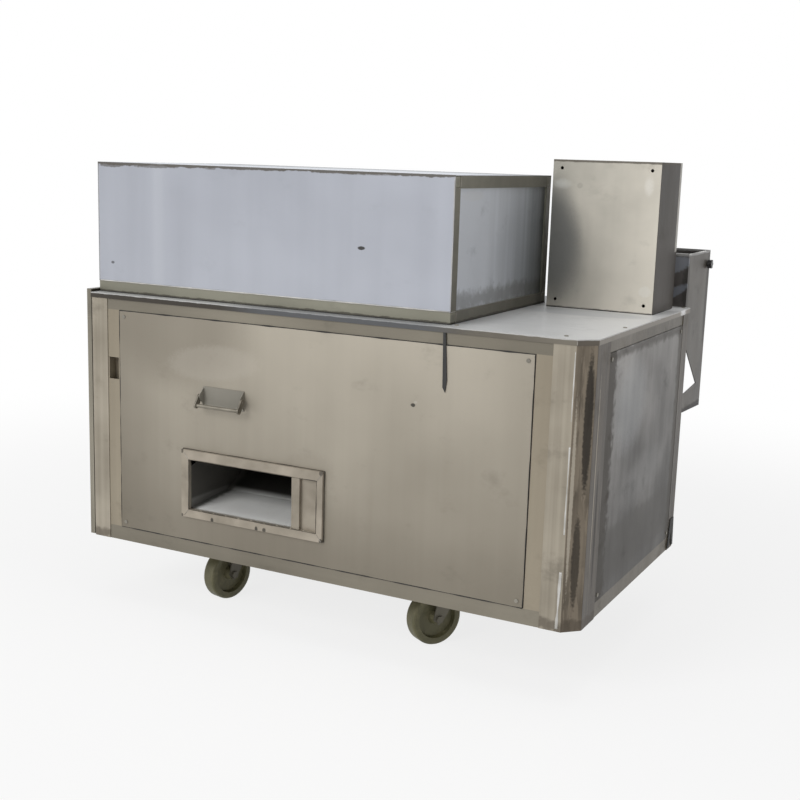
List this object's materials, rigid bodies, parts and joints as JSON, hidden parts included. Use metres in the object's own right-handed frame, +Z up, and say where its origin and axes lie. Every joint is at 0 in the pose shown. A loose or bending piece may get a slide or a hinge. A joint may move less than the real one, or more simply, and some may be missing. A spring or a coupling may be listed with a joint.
{
  "type": "fruit pitting machine",
  "caption": "Floor-standing stainless fruit pitting machine: a sheet-steel cabinet on castors with a discharge opening, a boxed punch head, a control box and a rear feed hopper.",
  "frame": {"origin": "on the floor, under the middle of the whole machine's plan", "axes": "+X to the right along the long side with the discharge opening, +Y back to the operator's side with the hopper, +Z up"},
  "size_m": [1.475, 1.108, 1.29],
  "materials": {
    "cabinet_steel": "bare brushed stainless sheet, satin",
    "frame_steel": "bare folded and welded stainless, satin",
    "film_steel": "stainless under a pale protective film, soft sheen",
    "box_steel": "satin light grey enclosure",
    "machined_steel": "ground steel",
    "zinc_steel": "zinc-plated steel, dull",
    "chain_steel": "oiled chain steel",
    "motor_paint": "hammered blue-grey paint",
    "gear_grey": "moulded grey housings",
    "black_rubber": "matt black",
    "bristle": "white nylon bristle on a steel core",
    "mould_plastic": "white food-grade plastic",
    "wheel_nylon": "olive moulded wheel",
    "green_plastic": "gloss green",
    "red_plastic": "gloss red",
    "black_plastic": "matt black"
  },
  "bodies": {
    "cabinet": {"base_rails": "frame_steel", "floor_pan": "frame_steel", "corner_post_front_right": "frame_steel", "corner_posts": "frame_steel", "front_stiles": "frame_steel", "top_rails": "frame_steel", "hood_frame": "frame_steel", "castor_plates": "frame_steel", "front_panel": "cabinet_steel", "right_panel": "cabinet_steel", "left_cover": "cabinet_steel", "rear_panel": "cabinet_steel", "discharge_trim": "cabinet_steel", "discharge_chute": "cabinet_steel", "handle_plate": "cabinet_steel", "hopper": "cabinet_steel", "inner_chutes": "cabinet_steel", "deck_plate": "film_steel", "hood_front_sheet": "film_steel", "hood_sheets": "film_steel", "control_box_shell": "box_steel", "conveyor_track": "machined_steel", "bearing_housings": "machined_steel", "punch_plates": "machined_steel", "guide_columns": "machined_steel", "hinges": "zinc_steel", "panel_screws": "zinc_steel", "chains": "chain_steel", "gear_motors": "motor_paint", "control_gear": "gear_grey", "rubber_strap": "black_rubber", "conveyor_slats": "mould_plastic"},
    "gate": {"discharge_gate": "cabinet_steel"},
    "bail": {"bail_handle": "cabinet_steel"},
    "hood_flap": {"hood_door": "film_steel"},
    "box_door": {"control_box_door": "box_steel"},
    "start_cap": {"start_button": "green_plastic"},
    "stop_cap": {"stop_button": "red_plastic"},
    "e_stop_cap": {"emergency_stop": "red_plastic"},
    "speed_control": {"speed_knob": "black_plastic"},
    "latch": {"door_latch": "machined_steel"},
    "crank": {"crankshaft": "machined_steel"},
    "motor_wheel": {"motor_sprocket": "machined_steel"},
    "punch_beam": {"needle_beam": "machined_steel", "needles": "machined_steel"},
    "rod_front": {"connecting_rod_front": "machined_steel"},
    "rod_rear": {"connecting_rod_rear": "machined_steel"},
    "tail": {"tail_shaft": "machined_steel"},
    "head": {"head_shaft": "machined_steel"},
    "brush": {"brush_roller": "bristle"},
    "drawer": {"pit_drawer": "cabinet_steel"},
    "clamp_knob": {"hopper_knob": "black_plastic"},
    "fork_front_left": {"castor_fork_front_left": "frame_steel"},
    "wheel_front_left": {"castor_wheel_front_left": "wheel_nylon"},
    "fork_front_right": {"castor_fork_front_right": "frame_steel"},
    "wheel_front_right": {"castor_wheel_front_right": "wheel_nylon"},
    "fork_rear_left": {"castor_fork_rear_left": "frame_steel"},
    "wheel_rear_left": {"castor_wheel_rear_left": "wheel_nylon"},
    "fork_rear_right": {"castor_fork_rear_right": "frame_steel"},
    "wheel_rear_right": {"castor_wheel_rear_right": "wheel_nylon"}
  },
  "joints": [
    {"name": "gate_slide", "type": "slide", "parent": "cabinet", "child": "gate", "axis": [-1, 0, 0], "range_m": [0, 0.3275]},
    {"name": "bail_swing", "type": "hinge", "parent": "cabinet", "child": "bail", "pos_m": [-0.3445, -0.53109, 0.64], "axis": [-1, 0, 0], "range_deg": [0, 75]},
    {"name": "hood_door_hinge", "type": "hinge", "parent": "cabinet", "child": "hood_flap", "pos_m": [-0.192, 0.1525, 1.2335], "axis": [1, 0, 0], "range_deg": [0, 95]},
    {"name": "box_door_hinge", "type": "hinge", "parent": "cabinet", "child": "box_door", "pos_m": [0.3932, 0.2503, 1.08], "axis": [0, 0, 1], "range_deg": [0, 90]},
    {"name": "start_press", "type": "slide", "parent": "box_door", "child": "start_cap", "axis": [0, -1, 0], "range_m": [0, 0.004], "stiffness_N_per_m": 900},
    {"name": "stop_press", "type": "slide", "parent": "box_door", "child": "stop_cap", "axis": [0, -1, 0], "range_m": [0, 0.004], "stiffness_N_per_m": 900},
    {"name": "e_stop_press", "type": "slide", "parent": "box_door", "child": "e_stop_cap", "axis": [0, -1, 0], "range_m": [0, 0.004], "stiffness_N_per_m": 900},
    {"name": "speed_turn", "type": "hinge", "parent": "box_door", "child": "speed_control", "pos_m": [0.5495, 0.2593, 1.22], "axis": [0, 1, 0], "range_deg": [-135, 135]},
    {"name": "latch_turn", "type": "hinge", "parent": "box_door", "child": "latch", "pos_m": [0.6595, 0.2593, 1.169], "axis": [0, -1, 0], "range_deg": [0, 90]},
    {"name": "crank_turn", "type": "hinge", "parent": "cabinet", "child": "crank", "pos_m": [-0.0825, -0.169, 1.158], "axis": [0, 1, 0], "continuous": true},
    {"name": "motor_turn", "type": "hinge", "parent": "cabinet", "child": "motor_wheel", "pos_m": [0.2375, -0.169, 1.04], "axis": [0, 1, 0], "continuous": true},
    {"name": "punch_stroke", "type": "slide", "parent": "cabinet", "child": "punch_beam", "axis": [0, 0, -1], "range_m": [0, 0.08]},
    {"name": "rod_front_swing", "type": "hinge", "parent": "punch_beam", "child": "rod_front", "pos_m": [-0.0825, -0.417, 1.048], "axis": [0, 1, 0], "range_deg": [-15.47, 15.47]},
    {"name": "rod_rear_swing", "type": "hinge", "parent": "punch_beam", "child": "rod_rear", "pos_m": [-0.0825, 0.079, 1.048], "axis": [0, 1, 0], "range_deg": [-15.47, 15.47]},
    {"name": "tail_turn", "type": "hinge", "parent": "cabinet", "child": "tail", "pos_m": [0.3375, -0.169, 0.636], "axis": [0, 1, 0], "continuous": true},
    {"name": "head_turn", "type": "hinge", "parent": "cabinet", "child": "head", "pos_m": [-0.2925, -0.169, 0.636], "axis": [0, 1, 0], "continuous": true},
    {"name": "brush_turn", "type": "hinge", "parent": "cabinet", "child": "brush", "pos_m": [0.2375, -0.169, 0.774], "axis": [0, 1, 0], "continuous": true},
    {"name": "drawer_slide", "type": "slide", "parent": "cabinet", "child": "drawer", "axis": [0, 1, 0], "range_m": [0, 0.22]},
    {"name": "hopper_knob_turn", "type": "hinge", "parent": "cabinet", "child": "clamp_knob", "pos_m": [0.7235, 0.528, 1], "axis": [1, 0, 0], "range_deg": [0, 350]},
    {"name": "castor_front_left_swivel", "type": "hinge", "parent": "cabinet", "child": "fork_front_left", "pos_m": [-0.3965, -0.269, 0.177], "axis": [0, 0, 1], "continuous": true},
    {"name": "castor_front_left_roll", "type": "hinge", "parent": "fork_front_left", "child": "wheel_front_left", "pos_m": [-0.40595, -0.30992, 0.075], "axis": [-0.9744, 0.225, 0], "continuous": true},
    {"name": "castor_front_right_swivel", "type": "hinge", "parent": "cabinet", "child": "fork_front_right", "pos_m": [0.2855, -0.269, 0.177], "axis": [0, 0, 1], "continuous": true},
    {"name": "castor_front_right_roll", "type": "hinge", "parent": "fork_front_right", "child": "wheel_front_right", "pos_m": [0.26324, -0.30462, 0.075], "axis": [-0.848, 0.5299, 0], "continuous": true},
    {"name": "castor_rear_left_swivel", "type": "hinge", "parent": "cabinet", "child": "fork_rear_left", "pos_m": [-0.3965, 0.061, 0.177], "axis": [0, 0, 1], "continuous": true},
    {"name": "castor_rear_left_roll", "type": "hinge", "parent": "fork_rear_left", "child": "wheel_rear_left", "pos_m": [-0.3755, 0.02463, 0.075], "axis": [-0.866, -0.5, 0], "continuous": true},
    {"name": "castor_rear_right_swivel", "type": "hinge", "parent": "cabinet", "child": "fork_rear_right", "pos_m": [0.2855, 0.061, 0.177], "axis": [0, 0, 1], "continuous": true},
    {"name": "castor_rear_right_roll", "type": "hinge", "parent": "fork_rear_right", "child": "wheel_rear_right", "pos_m": [0.27821, 0.01964, 0.075], "axis": [-0.9848, 0.1736, 0], "continuous": true}
  ],
  "couplings": [
    {"joint": "motor_turn", "follows": "crank_turn", "ratio": 1.4},
    {"joint": "rod_rear_swing", "follows": "rod_front_swing", "ratio": 1},
    {"joint": "head_turn", "follows": "tail_turn", "ratio": 1},
    {"joint": "brush_turn", "follows": "tail_turn", "ratio": -1.5}
  ]
}
